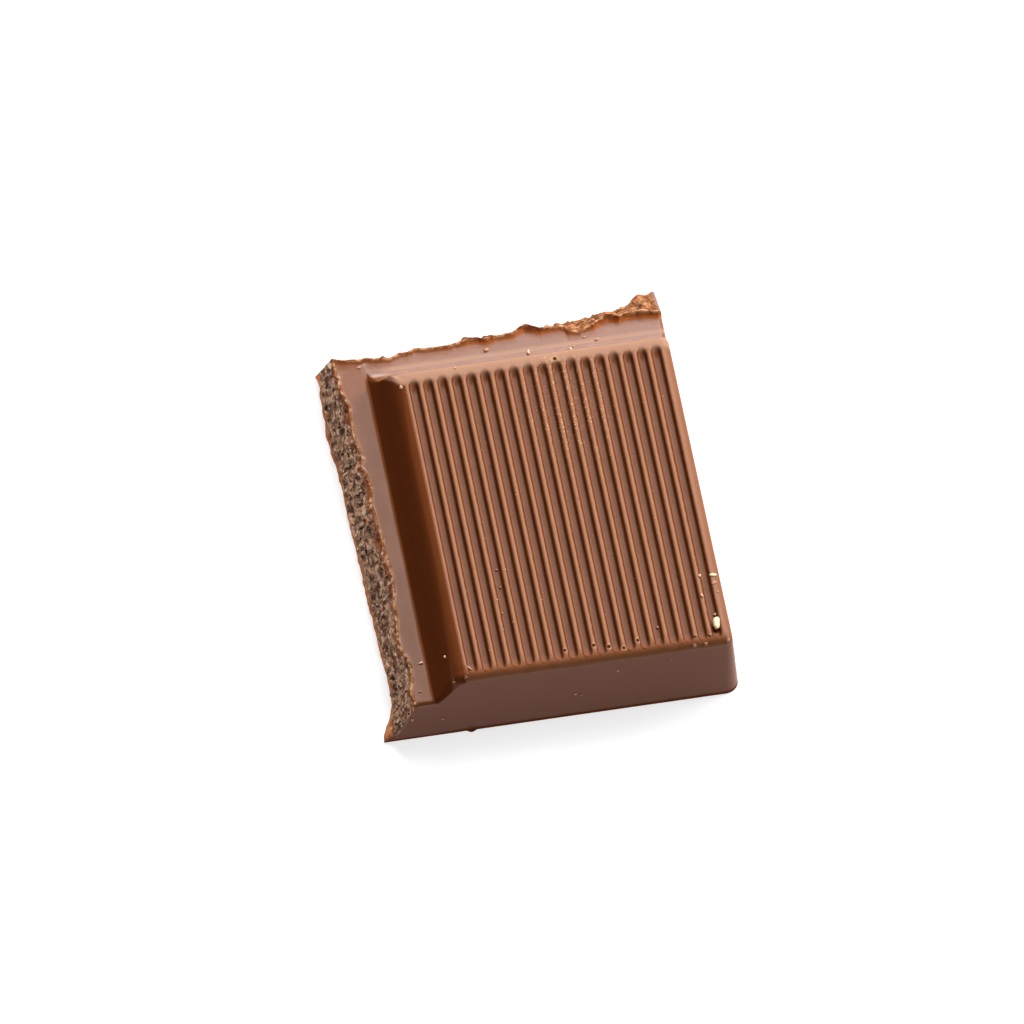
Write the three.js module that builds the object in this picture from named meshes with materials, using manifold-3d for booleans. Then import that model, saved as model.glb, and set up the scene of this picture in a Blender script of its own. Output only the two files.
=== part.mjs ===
// A corner piece broken off a moulded milk chocolate bar.
// Millimetres, +Z up. The front (-Y) and right (+X) faces are moulded walls. The left and back faces are
// broken, along the groove that parted this square from its neighbours. The top is a raised pillow with
// a row of fine grooves.
//
// Everything is laid out from the pillow's front left corner, at the bottom of the piece, and the finished
// mesh is then moved so that its origin is the centre of its underside.

import * as THREE from 'three';
import { mergeVertices } from 'three/addons/utils/BufferGeometryUtils.js';
import Module from 'manifold-3d';

// The pillow: the raised flat top, measured between the lines where its rounded edges begin.
const PILLOW_WIDTH = 18.1;
const PILLOW_LENGTH = 24.9;
const HEIGHT = 6.0;

// The fine grooves in the top. Their centres are GROOVE_PITCH apart and run from front to back.
const GROOVE_COUNT = 18;
const GROOVE_PITCH = 1.0;
const GROOVE_RADIUS = 0.34;
const GROOVE_AXIS_SINK = 0.05;
const GROOVE_FRONT_END = -0.35;
const GROOVE_BACK_MARGIN = 0.3;
const GROOVE_SIDE_MARGIN = 0.68;

// The moulded walls.
const EDGE_RADIUS = 0.6;
const CORNER_RADIUS = 0.6;
const DRAFT = THREE.MathUtils.degToRad(4.3);

// The half groove along the left and the back: a rounded shoulder, a steep wall and a cove, down to a web.
const WEB_THICKNESS = 3.65;
const SHOULDER_RADIUS = 0.8;
const SHOULDER_ANGLE = THREE.MathUtils.degToRad(70);
const COVE_RADIUS = 1.5;

// The broken faces. A lip is the upper edge of a break, on the web, and a foot its lower edge.
const LEFT_LIP = -3.15;
const LEFT_LIP_BEND = 0.0016;
const LEFT_FOOT = -4.7;
const LEFT_FOOT_SLANT = 0.027;
const LEFT_SPUR = { reach: 1.1, from: 2.2, to: -0.3 };
const BACK_LIP = 28.75;
const BACK_LIP_SLANT = 0.04;
const BACK_TONGUES = [
  { at: -4.2, reach: 0.35, spread: 0.6 },
  { at: 5.8, reach: 0.3, spread: 0.6 },
  { at: 9.6, reach: 0.55, spread: 0.55 },
];
const BACK_LEAN = 1.3;
const BACK_RIGHT_LEAN = { reach: 1.3, from: 6, to: 14 };
const BACK_SPUR = { reach: 1.25, from: 16.2, to: 18.2 };
const CORNER_CHIP = { across: 0.5, along: 0.9 };
const RAGGED = 0.16;
const GRAIN = 0.09;
const LEFT_SEED = 1;
const BACK_SEED = 4;

// The waves that make a broken edge wander and a broken face coarse, in radians to the millimetre. The
// shares of each set add up to 1.
const EDGE_WAVES = [
  { share: 0.5, frequency: 1.15, shift: 1 },
  { share: 0.3, frequency: 2.9, shift: 1.7 },
  { share: 0.2, frequency: 6.1, shift: 2.9 },
];
const FACE_WAVES = [
  { share: 0.6, along: 5.3, up: 3.7 },
  { share: 0.4, along: 9.7, up: -5.1 },
];

// How finely the broken outline and height are divided.
const BREAK_STEP = 0.55;
const LEVELS = 9;
const ARC_STEPS = 8;
const CUT_MARGIN = 3;

const CHOCOLATE = new THREE.MeshStandardMaterial({
  color: 0x6b412c,
  roughness: 0.42,
  metalness: 0,
});

const { smoothstep, lerp } = THREE.MathUtils;

const wasm = await Module();
wasm.setup();

// ---------------------------------------------------------------------------------------------------
// Outlines

// How far the moulded wall stands out from the pillow's edge line at height z.
const wallOffset = (z) => {
  const wallTop = HEIGHT - EDGE_RADIUS + EDGE_RADIUS * Math.sin(DRAFT);
  return EDGE_RADIUS * Math.cos(DRAFT) + (wallTop - z) * Math.tan(DRAFT);
};

// A line that wanders by up to 1 either way, as a break does.
const wander = (along, seed) =>
  EDGE_WAVES.reduce(
    (sum, { share, frequency, shift }) => sum + share * Math.sin(along * frequency + shift * seed),
    0,
  );

// The coarse grain of a broken face, by up to 1 either way.
const grain = (along, z) =>
  FACE_WAVES.reduce((sum, wave) => sum + wave.share * Math.sin(along * wave.along + z * wave.up), 0);

// Share of the way from lip to foot at height z. Both edges keep their place, so no grain reaches them.
const fallen = (z) => 1 - Math.min(z / WEB_THICKNESS, 1);
const between = (z) => Math.sin(Math.PI * fallen(z));

// Where the broken faces are: the left one's x at y and z, and the back one's y at x and z.
const leftBreak = (y, z) => {
  const lip = LEFT_LIP - LEFT_LIP_BEND * y * y + RAGGED * wander(y, LEFT_SEED);
  const spur = LEFT_SPUR.reach * (1 - smoothstep(y, LEFT_SPUR.to, LEFT_SPUR.from));
  const foot = LEFT_FOOT - LEFT_FOOT_SLANT * Math.max(y, 0) - spur;
  return lerp(lip, foot, fallen(z)) + GRAIN * between(z) * grain(y, z);
};

const backBreak = (x, z) => {
  const tongues = BACK_TONGUES.reduce(
    (sum, { at, reach, spread }) => sum + reach * Math.exp(-(((x - at) / spread) ** 2)),
    0,
  );
  const lip = BACK_LIP + BACK_LIP_SLANT * x + RAGGED * wander(x, BACK_SEED) + tongues;
  const right = BACK_RIGHT_LEAN.reach * smoothstep(x, BACK_RIGHT_LEAN.from, BACK_RIGHT_LEAN.to);
  const spur = BACK_SPUR.reach * smoothstep(x, BACK_SPUR.from, BACK_SPUR.to);
  const foot = BACK_LIP + BACK_LIP_SLANT * x + BACK_LEAN + right + spur;
  return lerp(lip, foot, fallen(z)) + GRAIN * between(z) * grain(x, z);
};

const RIGHT_FOOT = PILLOW_WIDTH + wallOffset(0);
const FRONT_FOOT = -wallOffset(0);
const LEFT_FOOT_TIP = LEFT_FOOT - LEFT_SPUR.reach;
const BACK_FOOT_TIP =
  BACK_LIP + BACK_LIP_SLANT * RIGHT_FOOT + BACK_LEAN + BACK_RIGHT_LEAN.reach + BACK_SPUR.reach;

// ---------------------------------------------------------------------------------------------------
// Solids

const solid = (geometry) => {
  const bare = geometry.clone();
  bare.deleteAttribute('normal');
  bare.deleteAttribute('uv');
  const merged = mergeVertices(bare, 1e-4);
  return new wasm.Manifold(
    new wasm.Mesh({
      numProp: 3,
      vertProperties: new Float32Array(merged.attributes.position.array),
      triVerts: new Uint32Array(merged.index.array),
    }),
  );
};

const geometryOf = (manifold) => {
  const { vertProperties, triVerts } = manifold.getMesh();
  const geometry = new THREE.BufferGeometry();
  geometry.setAttribute('position', new THREE.BufferAttribute(vertProperties, 3));
  geometry.setIndex(new THREE.BufferAttribute(triVerts, 1));
  geometry.computeVertexNormals();
  return geometry;
};

// Goes on from (x0, y0) to (x1, y1) in the short steps of a broken side. A closed outline's last point is
// its first, so no point is set there twice.
const brokenLine = (outline, x0, y0, x1, y1) => {
  const steps = Math.round(Math.hypot(x1 - x0, y1 - y0) / BREAK_STEP);
  for (let i = 1; i <= steps; i += 1) {
    if (i < steps || x1 !== 0 || y1 !== 0) {
      outline.lineTo(lerp(x0, x1, i / steps), lerp(y0, y1, i / steps));
    }
  }
};

// The slab without any groove: a block whose four sides are then moved to where they belong. Its left and
// back sides are divided finely, because they become the broken faces.
const slab = () => {
  const width = RIGHT_FOOT - LEFT_FOOT;
  const length = BACK_LIP - FRONT_FOOT;
  const outline = new THREE.Shape();
  outline.moveTo(0, 0);
  outline.lineTo(width - CORNER_RADIUS, 0);
  outline.absarc(width - CORNER_RADIUS, CORNER_RADIUS, CORNER_RADIUS, -Math.PI / 2, 0, false);
  outline.lineTo(width, length);
  brokenLine(outline, width, length, CORNER_CHIP.across, length);
  brokenLine(outline, CORNER_CHIP.across, length, 0, length - CORNER_CHIP.along);
  brokenLine(outline, 0, length - CORNER_CHIP.along, 0, 0);
  const block = new THREE.ExtrudeGeometry(outline, {
    depth: HEIGHT,
    steps: LEVELS,
    bevelEnabled: false,
    curveSegments: ARC_STEPS,
  });

  const position = block.attributes.position;
  for (let i = 0; i < position.count; i += 1) {
    const z = position.getZ(i);
    const acrossShare = position.getX(i) / width;
    const alongShare = position.getY(i) / length;
    const nominalX = lerp(LEFT_LIP, RIGHT_FOOT, acrossShare);
    const y = lerp(-wallOffset(z), backBreak(nominalX, z), alongShare);
    const x = lerp(leftBreak(y, z), PILLOW_WIDTH + wallOffset(z), acrossShare);
    position.setXY(i, x, y);
  }
  return solid(block);
};

// What is cut away over the half groove, as an outline: u runs outwards from the pillow's edge, v is height.
const halfGrooveOutline = () => {
  const wallRun =
    (HEIGHT - WEB_THICKNESS - (SHOULDER_RADIUS + COVE_RADIUS) * (1 - Math.cos(SHOULDER_ANGLE))) /
    Math.sin(SHOULDER_ANGLE);
  const coveU =
    (SHOULDER_RADIUS + COVE_RADIUS) * Math.sin(SHOULDER_ANGLE) + wallRun * Math.cos(SHOULDER_ANGLE);
  const far = coveU + CUT_MARGIN + PILLOW_WIDTH / 2;
  const outline = new THREE.Shape();
  outline.moveTo(0, HEIGHT);
  outline.absarc(
    0,
    HEIGHT - SHOULDER_RADIUS,
    SHOULDER_RADIUS,
    Math.PI / 2,
    Math.PI / 2 - SHOULDER_ANGLE,
    true,
  );
  outline.absarc(
    coveU,
    WEB_THICKNESS + COVE_RADIUS,
    COVE_RADIUS,
    -Math.PI / 2 - SHOULDER_ANGLE,
    -Math.PI / 2,
    false,
  );
  outline.lineTo(far, WEB_THICKNESS);
  outline.lineTo(far, HEIGHT + CUT_MARGIN);
  outline.lineTo(0, HEIGHT + CUT_MARGIN);
  return outline;
};

// What is cut away outside the rounded top edge of a moulded wall, in the same u and v.
const edgeOutline = () => {
  const outline = new THREE.Shape();
  outline.moveTo(0, HEIGHT);
  outline.absarc(0, HEIGHT - EDGE_RADIUS, EDGE_RADIUS, Math.PI / 2, DRAFT, true);
  outline.lineTo(EDGE_RADIUS + CUT_MARGIN, HEIGHT - EDGE_RADIUS + EDGE_RADIUS * Math.sin(DRAFT));
  outline.lineTo(EDGE_RADIUS + CUT_MARGIN, HEIGHT + CUT_MARGIN);
  outline.lineTo(0, HEIGHT + CUT_MARGIN);
  return outline;
};

// Carries an outline in u and v along a side of the pillow. The outline's u axis points along `outwards`,
// from the side's line through `start`.
const alongSide = (outline, outwards, start, length) => {
  const up = new THREE.Vector3(0, 0, 1);
  const run = new THREE.Vector3().crossVectors(outwards, up);
  const bar = new THREE.ExtrudeGeometry(outline, {
    depth: length,
    bevelEnabled: false,
    curveSegments: ARC_STEPS,
  });
  bar.applyMatrix4(new THREE.Matrix4().makeBasis(outwards, up, run).setPosition(start));
  return solid(bar);
};

const LEFTWARDS = new THREE.Vector3(-1, 0, 0);
const RIGHTWARDS = new THREE.Vector3(1, 0, 0);
const FORWARDS = new THREE.Vector3(0, -1, 0);
const BACKWARDS = new THREE.Vector3(0, 1, 0);
const CUT_LENGTH = PILLOW_LENGTH * 2;

const leftHalfGroove = () =>
  alongSide(halfGrooveOutline(), LEFTWARDS, new THREE.Vector3(0, -CUT_MARGIN, 0), CUT_LENGTH);

const backHalfGroove = () =>
  alongSide(
    halfGrooveOutline(),
    BACKWARDS,
    new THREE.Vector3(-PILLOW_WIDTH, PILLOW_LENGTH, 0),
    CUT_LENGTH,
  );

const frontEdge = () =>
  alongSide(edgeOutline(), FORWARDS, new THREE.Vector3(PILLOW_LENGTH, 0, 0), CUT_LENGTH);

const rightEdge = () =>
  alongSide(
    edgeOutline(),
    RIGHTWARDS,
    new THREE.Vector3(PILLOW_WIDTH, CUT_LENGTH - CUT_MARGIN, 0),
    CUT_LENGTH,
  );

// One fine groove: a round-ended rod sunk into the top.
const fineGroove = (index) => {
  const backEnd = PILLOW_LENGTH - GROOVE_BACK_MARGIN;
  const straight = backEnd - GROOVE_FRONT_END - 2 * GROOVE_RADIUS;
  const rod = new THREE.CapsuleGeometry(GROOVE_RADIUS, straight, 3, 12);
  rod.translate(
    GROOVE_SIDE_MARGIN + index * GROOVE_PITCH,
    (backEnd + GROOVE_FRONT_END) / 2,
    HEIGHT - GROOVE_AXIS_SINK,
  );
  return solid(rod);
};

// ---------------------------------------------------------------------------------------------------
// The piece

const chocolatePiece = () => {
  let piece = slab();
  [leftHalfGroove(), backHalfGroove(), frontEdge(), rightEdge()].forEach((cut) => {
    piece = piece.subtract(cut);
  });
  for (let i = 0; i < GROOVE_COUNT; i += 1) {
    piece = piece.subtract(fineGroove(i));
  }
  const mesh = new THREE.Mesh(geometryOf(piece), CHOCOLATE);
  mesh.name = 'chocolate_piece';
  mesh.position.set(-(LEFT_FOOT_TIP + RIGHT_FOOT) / 2, -(FRONT_FOOT + BACK_FOOT_TIP) / 2, 0);
  return mesh;
};

const chocolateBarPiece = new THREE.Group();
chocolateBarPiece.add(chocolatePiece());

export default chocolateBarPiece;
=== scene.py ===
"""The looks of a corner piece broken off a moulded milk chocolate bar: a raised top with fine grooves, two
smooth drafted walls, two rough broken faces, and a few crumbs lying on it."""

import functools
import itertools
import math

import bpy
import numpy as np
from bpy.props import FloatProperty, FloatVectorProperty, PointerProperty
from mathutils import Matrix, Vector


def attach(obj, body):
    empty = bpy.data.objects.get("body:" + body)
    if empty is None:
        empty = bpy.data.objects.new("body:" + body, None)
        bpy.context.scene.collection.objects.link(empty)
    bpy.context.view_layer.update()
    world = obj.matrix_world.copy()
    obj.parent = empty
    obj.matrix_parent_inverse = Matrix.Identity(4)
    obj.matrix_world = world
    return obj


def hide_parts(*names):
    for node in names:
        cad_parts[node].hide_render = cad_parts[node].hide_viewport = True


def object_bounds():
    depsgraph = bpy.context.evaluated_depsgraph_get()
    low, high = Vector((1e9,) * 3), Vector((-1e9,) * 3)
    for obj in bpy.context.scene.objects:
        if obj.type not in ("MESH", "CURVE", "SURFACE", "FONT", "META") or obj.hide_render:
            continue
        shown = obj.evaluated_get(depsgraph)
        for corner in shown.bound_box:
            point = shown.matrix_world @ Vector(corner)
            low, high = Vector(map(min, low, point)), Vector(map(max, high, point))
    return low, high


bl_info = {
    "name": "Broken chocolate piece",
    "version": (1, 0, 0),
    "blender": (4, 5, 0),
    "location": "3D View > Sidebar > Chocolate",
    "description": "Makes the fine surface, crumbs and studio of a broken piece of milk chocolate",
    "category": "Object",
}

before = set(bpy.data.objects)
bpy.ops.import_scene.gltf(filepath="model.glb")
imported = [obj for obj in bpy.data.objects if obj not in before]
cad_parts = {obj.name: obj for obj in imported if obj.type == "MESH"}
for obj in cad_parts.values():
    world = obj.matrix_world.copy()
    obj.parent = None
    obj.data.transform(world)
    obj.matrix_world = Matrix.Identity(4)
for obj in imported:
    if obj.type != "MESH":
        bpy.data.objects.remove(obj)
CAD_LOW, CAD_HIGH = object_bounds()
NODE = "chocolate_piece"
BODY = "root"

# Lengths below are in millimetres, laid out from the pillow's front left corner with z = 0 at the bottom.
# The pillow is the raised top, measured between the lines where its rounded edges begin.
MM = 0.001
PILLOW_WIDTH = 18.1
PILLOW_LENGTH = 24.9
HEIGHT = 6.0
EDGE_RADIUS = 0.6
WEB_EDGE_RADIUS = 0.3
DRAFT = math.radians(4.3)

# The fine grooves. GROOVE_WALL is the width of a side wall. Towards a groove's ends the floor rises over
# GROOVE_END, to GROOVE_END_DEPTH of its depth, and at the back it comes to a soft point.
GROOVE_COUNT = 18
GROOVE_PITCH = 1.004
GROOVE_FIRST = 0.56
GROOVE_FRONT = 0.08
GROOVE_BACK = 24.28
GROOVE_DEPTH = 0.36
GROOVE_HALF_WIDTH = 0.385
GROOVE_WALL = 0.17
GROOVE_END = 0.9
GROOVE_END_DEPTH = 0.42
POINT_START = 0.15
POINT_STRETCH = 0.7
FRONT_FALL = 0.12

# Strength of the painted shade in the fine grooves: on their walls that face left, on those that face right, and on
# their floors.
LEFT_WALL_SHADE = 0.35
RIGHT_WALL_SHADE = 0.95
FLOOR_SHADE = 0.2

# The half grooves along the two broken sides: how steeply they fall, in degrees, at distances out from the
# pillow's edge line, down to a crease with the floor of the web. The back web then falls on gently beyond a
# line given as y at places x, which bulges back at the end of the left web.
WEB = 3.65
CREASE = 2.27
LEFT_PROFILE = (
    (0, 0), (0.3, 13), (0.6, 32), (0.85, 54), (1.0, 61), (1.5, 60), (1.9, 50), (2.27, 41),
)
BACK_PROFILE = (
    (0, 0), (0.35, 22), (0.6, 52), (0.75, 68), (1.05, 68), (1.4, 46), (1.8, 26), (2.1, 10), (2.27, 3),
)
CORNER_ROUNDING = 0.6
BACK_WEB_FALL = math.radians(1.6)
LEFT_WEB_END = (
    (-4.6, 26.9), (-3.8, 27.4), (-3.5, 27.7), (-3.15, 27.9), (-2.8, 27.9), (-2.5, 27.8), (-2.05, 27.25),
    (-1.9, PILLOW_LENGTH + CREASE),
)

# The left slope's painted shade: how far out from the edge line its full strength begins at places y, and the slanting
# line that it ends at, as y at places x. The shoulder above it gets weaker painted shade.
DARK_START = ((-0.5, 0.95), (2.6, 0.77), (9.4, 0.5), (18.9, 0.57), (24.3, 0.23))
DARK_END = ((-2.25, 27.5), (-1.9, 26.95), (-1.5, 26.15), (-0.85, 25.1), (-0.25, 24.3))
SHOULDER_SHADE = 0.75

# The broken edges. A lip is the upper edge of a break, on the web, and a foot is its lower edge. On the left
# they are x at places y, and at the back y at places x. A burr is how high a lip's thin edge stands up, and
# the spur is how far the left foot swings out at the front.
LEFT_LIP = (
    (-0.25, -3.6), (0.4, -3.8), (1.1, -3.55), (2.3, -3.4), (3.0, -3.45), (4.0, -3.8), (4.75, -3.95),
    (6.0, -3.8), (6.4, -3.7), (7.05, -3.7), (7.4, -3.6), (8.25, -3.7), (8.6, -3.5), (8.9, -3.45), (9.65, -3.5),
    (10.15, -3.4), (11.1, -3.45), (12.65, -3.6), (13.5, -3.55), (14.7, -3.7), (15.65, -3.75), (16.5, -3.85),
    (17.0, -3.7), (18.0, -3.55), (18.45, -3.7), (19.0, -3.75), (19.3, -3.85), (19.7, -4.1), (20.0, -3.85),
    (20.35, -3.7), (21.1, -3.9), (22.2, -4.0), (23.3, -4.0), (23.8, -4.1), (24.6, -3.9), (25.6, -4.15),
    (26.5, -4.35), (27.2, -4.25), (27.5, -4.4), (29.0, -4.4),
)
LEFT_FOOT = (
    (-0.9, -4.72), (2.5, -4.74), (4.0, -4.73), (6.1, -4.85), (8.9, -4.93), (10.9, -5.0), (13.2, -5.02),
    (16.6, -5.12), (20.5, -5.15), (22.0, -5.23), (23.5, -5.38), (25.5, -5.46), (26.6, -5.34), (28.2, -5.36),
    (29.2, -5.28), (29.8, -5.3), (30.2, -5.4),
)
LEFT_SPUR = (
    (-0.95, 1.08), (-0.4, 1.05), (0.0, 0.9), (0.37, 0.66), (0.9, 0.34), (1.38, 0.17), (1.95, 0.04), (2.5, 0.0),
)
SPUR_CURVE = 6.0
BACK_LIP = (
    (-4.4, 29.0), (-3.7, 28.7), (-3.0, 28.65), (-2.5, 28.55), (-2.0, 28.65), (-1.7, 28.55), (-1.3, 28.45),
    (-0.3, 28.35), (0.0, 28.5), (0.5, 28.65), (0.9, 28.65), (1.35, 28.85), (1.6, 28.85), (2.4, 28.75),
    (3.7, 28.7), (4.3, 28.85), (4.7, 28.85), (5.25, 29.0), (5.9, 28.95), (6.15, 28.8), (6.5, 28.75),
    (6.85, 28.8), (7.2, 28.95), (8.2, 28.95), (8.5, 29.05), (9.15, 29.4), (9.45, 29.4), (9.65, 29.25),
    (10.3, 29.0), (11.7, 29.05), (12.0, 28.9), (12.15, 28.55), (12.6, 28.45), (13.0, 28.4), (13.3, 28.55),
    (14.1, 28.75), (14.5, 29.0), (15.05, 29.2), (15.5, 29.15), (15.85, 29.0), (16.6, 29.2), (17.4, 29.15),
    (18.35, 28.9), (18.75, 29.0),
)
BACK_BURR = (
    (-3.9, 0.08), (0.1, 0.08), (1.4, 0.1), (4.5, 0.12), (5.2, 0.26), (6.7, 0.26), (7.5, 0.15), (8.3, 0.22),
    (8.9, 0.38), (9.8, 0.36), (10.6, 0.25), (11.6, 0.2), (12.0, 0.1), (13.6, 0.1), (14.3, 0.3), (15.1, 0.36),
    (17.0, 0.4), (18.2, 0.4),
)
BURR_LEAST = 0.08
BACK_FOOT = (
    (-5.4, 30.2), (0.0, 30.1), (6.0, 30.7), (10.0, 31.3), (12.16, 31.75), (13.2, 31.8), (14.1, 31.92),
    (15.1, 32.02), (16.0, 32.2), (16.7, 32.32), (17.1, 32.5), (17.45, 32.87), (17.75, 33.22), (18.0, 33.36),
    (18.2, 33.3), (18.42, 33.12), (18.65, 33.18), (18.9, 33.36), (19.2, 33.34),
)

# Small open bubbles in the top: x, y and radius.
PINHOLES = (
    (7.07, 0.49, 0.13), (9.11, 0.56, 0.15), (10.11, 0.3, 0.15), (11.11, 0.04, 0.13), (12.16, 0.46, 0.14),
    (6.41, 0.69, 0.09), (10.6, 24.78, 0.15),
)

# Spots on the left break, such as thin chips and deep pits: x, y, z and radius. The orange ones are a painted glow in
# thin chips, the pale ones partly pale grains and partly painted glints, the dark ones painted shade in deep pits, and
# the red ones take the colour of the painted shade below the lip.
ORANGE_SPOTS = (
    (-4.16, 15.8, 2.61, 0.26), (-4.05, 15.1, 2.75, 0.15), (-4.21, 14.5, 2.5, 0.16), (-3.7, 12.2, 3.3, 0.12),
    (-5.3, 29.84, 0.3, 0.45), (-4.5, 17.0, 2.0, 0.12),
)
PALE_SPOTS = (
    (-4.21, 16.55, 2.58, 0.3), (-4.57, 29.04, 2.97, 0.35), (-3.63, 12.36, 3.51, 0.16),
    (-3.58, 9.82, 3.36, 0.16), (-3.68, 6.8, 3.55, 0.2), (-3.87, 4.42, 3.5, 0.16), (-4.5, 20.9, 2.4, 0.16),
    (-4.9, 26.2, 1.7, 0.18),
)
DARK_SPOTS = (
    (-3.99, 4.68, 3.3, 0.16), (-3.74, 0.56, 3.55, 0.16), (-4.39, 7.16, 1.54, 0.2), (-4.15, 10.96, 2.01, 0.22),
    (-4.1, 18.42, 2.61, 0.22), (-4.4, 19.6, 2.47, 0.2), (-4.07, 24.66, 3.29, 0.2),
)
RED_SPOTS = (
    (-3.89, 14.08, 2.94, 0.5), (-3.8, 13.3, 3.2, 0.4), (-4.9, 10.2, 0.6, 0.4), (-4.6, 22.6, 1.9, 0.35),
)

# A small drip on the front wall: its middle and its half sizes, along x and z, and how far it stands out.
DRIP = (0.3, 0.15)
DRIP_SIZE = (0.34, 0.3)
DRIP_BULGE = 0.16

# Crumbs that lie on the piece: x, y and z of the middle, half sizes along, across and up, turn in degrees,
# and tone from 0, brown, to 1, cream.
CRUMBS = (
    (6.33, 27.93, 3.68, 0.18, 0.12, 0.08, 10, 0.7), (9.17, 27.23, 3.69, 0.1, 0.17, 0.1, 0, 0.9),
    (12.09, 26.93, 3.76, 0.11, 0.13, 0.1, 0, 0.9), (12.37, 27.18, 3.68, 0.06, 0.06, 0.05, 0, 0.8),
    (13.22, 27.84, 3.67, 0.07, 0.07, 0.06, 0, 0.8), (14.07, 27.52, 3.67, 0.15, 0.08, 0.06, 20, 0.7),
    (3.68, 25.15, 5.99, 0.06, 0.06, 0.05, 0, 0.9), (-2.66, 27.97, 3.67, 0.15, 0.09, 0.05, 20, 0.6),
    (-0.32, 24.19, 6.0, 0.11, 0.13, 0.1, 0, 0.95), (18.21, 4.94, 6.0, 0.28, 0.15, 0.1, -5, 1.0),
    (18.2, 4.3, 5.98, 0.2, 0.12, 0.06, 30, 0.55), (17.28, 5.02, 6.0, 0.09, 0.14, 0.09, 0, 0.85),
    (17.13, 3.35, 6.0, 0.11, 0.15, 0.09, 0, 0.8), (18.28, 3.5, 5.97, 0.07, 0.08, 0.06, 0, 0.7),
    (17.79, 1.85, 5.69, 0.13, 0.09, 0.1, 0, 0.9), (17.76, 1.03, 5.83, 0.27, 0.6, 0.21, -14, 1.0),
    (17.62, 0.1, 5.76, 0.1, 0.08, 0.06, 0, 0.3), (13.73, 1.48, 5.68, 0.08, 0.08, 0.07, 0, 0.8),
    (15.94, -0.5, 5.75, 0.15, 0.12, 0.1, 0, 0.35), (16.75, -0.45, 5.68, 0.13, 0.11, 0.1, 0, 0.35),
    (18.3, -0.4, 5.75, 0.12, 0.12, 0.1, 0, 0.5), (16.11, 0.19, 5.98, 0.12, 0.1, 0.08, 0, 0.35),
    (17.15, 0.1, 5.9, 0.14, 0.1, 0.07, -20, 0.4), (0.34, 0.33, 5.76, 0.34, 0.09, 0.07, -55, 0.45),
    (0.0, -0.4, 5.74, 0.12, 0.1, 0.08, 0, 0.35), (-1.06, 1.84, 5.29, 0.1, 0.11, 0.09, 0, 0.95),
    (-0.8, -0.42, 5.4, 0.12, 0.12, 0.08, 0, 0.2), (-2.62, 2.69, 3.68, 0.14, 0.1, 0.07, 10, 0.9),
    (-3.07, 0.34, 3.66, 0.12, 0.07, 0.04, 0, 0.55), (10.57, -0.68, 4.3, 0.1, 0.06, 0.1, 0, 0.7),
    (-1.67, -0.87, 1.8, 0.1, 0.06, 0.1, 0, 0.45), (-3.83, -0.84, 2.17, 0.11, 0.06, 0.11, 0, 0.6),
    (7.61, -0.82, 2.45, 0.1, 0.06, 0.1, 0, 0.55), (8.0, -0.84, 2.2, 0.07, 0.05, 0.07, 0, 0.55),
    (14.34, -0.65, 4.76, 0.07, 0.04, 0.07, 0, 0.5), (3.62, 8.11, 5.67, 0.09, 0.07, 0.06, 0, 0.75),
    (4.16, 7.81, 5.98, 0.07, 0.09, 0.06, 0, 0.75), (3.19, 5.43, 5.98, 0.07, 0.07, 0.06, 0, 0.7),
    (3.17, 2.88, 5.98, 0.08, 0.06, 0.06, 0, 0.75), (3.61, 6.63, 5.68, 0.08, 0.06, 0.05, 0, 0.7),
    (3.95, 3.38, 6.0, 0.07, 0.07, 0.05, 0, 0.7), (3.4, 4.5, 5.67, 0.06, 0.08, 0.05, 0, 0.7),
)
DUST_COUNT = 90
CRUMB_ROUND = 10
CRUMB_RINGS = 6

NOISE_PERIOD = 32


# ---------------------------------------------------------------------------------------------------
# Numbers


def ease(t):
    """The smooth step 3t^2 - 2t^3, held at 0 below t = 0 and at 1 above t = 1."""
    t = np.clip(t, 0, 1)
    return t * t * (3 - 2 * t)


def mix(a, b, t):
    """The point a share t of the way from a to b."""
    return a + (b - a) * t


def soft_max(a, b, width):
    """The larger of a and b, rounded over where they differ by less than width."""
    share = np.clip(0.5 + 0.5 * (a - b) / width, 0, 1)
    return mix(b, a, share) + width * share * (1 - share)


def largest(*values):
    """The largest of several values, point by point."""
    return functools.reduce(np.maximum, values)


def line(points, at):
    """The height at each place on the line through the given (place, height) points."""
    place, height = np.array(points).T
    return np.interp(at, place, height)


def soft_noise(points, cell, seed):
    """Smooth random values from -1 to 1: random values at the corners of cubes of size cell, blended within
    each cube by the smooth step along its three sides."""
    table = np.random.default_rng(seed).uniform(-1, 1, (NOISE_PERIOD,) * 3)
    place = np.asarray(points, float) / cell
    cube = np.floor(place).astype(int)
    weight = ease(place - cube)
    total = np.zeros(place.shape[:-1])
    for corner in itertools.product((0, 1), repeat=3):
        share = np.prod(np.where(corner, weight, 1 - weight), axis=-1)
        total += share * table[tuple(np.moveaxis((cube + corner) % NOISE_PERIOD, -1, 0))]
    return total


def grain_noise(points, cell, seed):
    """Distances to the nearest and the second nearest of random points, of which each cube of size cell holds
    one, in cube sizes."""
    spots = np.random.default_rng(seed).random((NOISE_PERIOD,) * 3 + (3,))
    place = np.asarray(points, float) / cell
    cube = np.floor(place).astype(int)
    nearest = np.full(place.shape[:-1], 9.0)
    second = nearest.copy()
    for offset in itertools.product((-1, 0, 1), repeat=3):
        other = cube + offset
        spot = other + spots[tuple(np.moveaxis(other % NOISE_PERIOD, -1, 0))]
        distance = np.linalg.norm(place - spot, axis=-1)
        second = np.minimum(second, np.maximum(nearest, distance))
        nearest = np.minimum(nearest, distance)
    return nearest, second


def along(values, seed, cell):
    """Smooth random values from -1 to 1 along a line."""
    points = np.stack([values, np.full_like(values, 0.37), np.full_like(values, 0.61)], axis=-1)
    return soft_noise(points, cell, seed)


# ---------------------------------------------------------------------------------------------------
# The moulded surface


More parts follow.
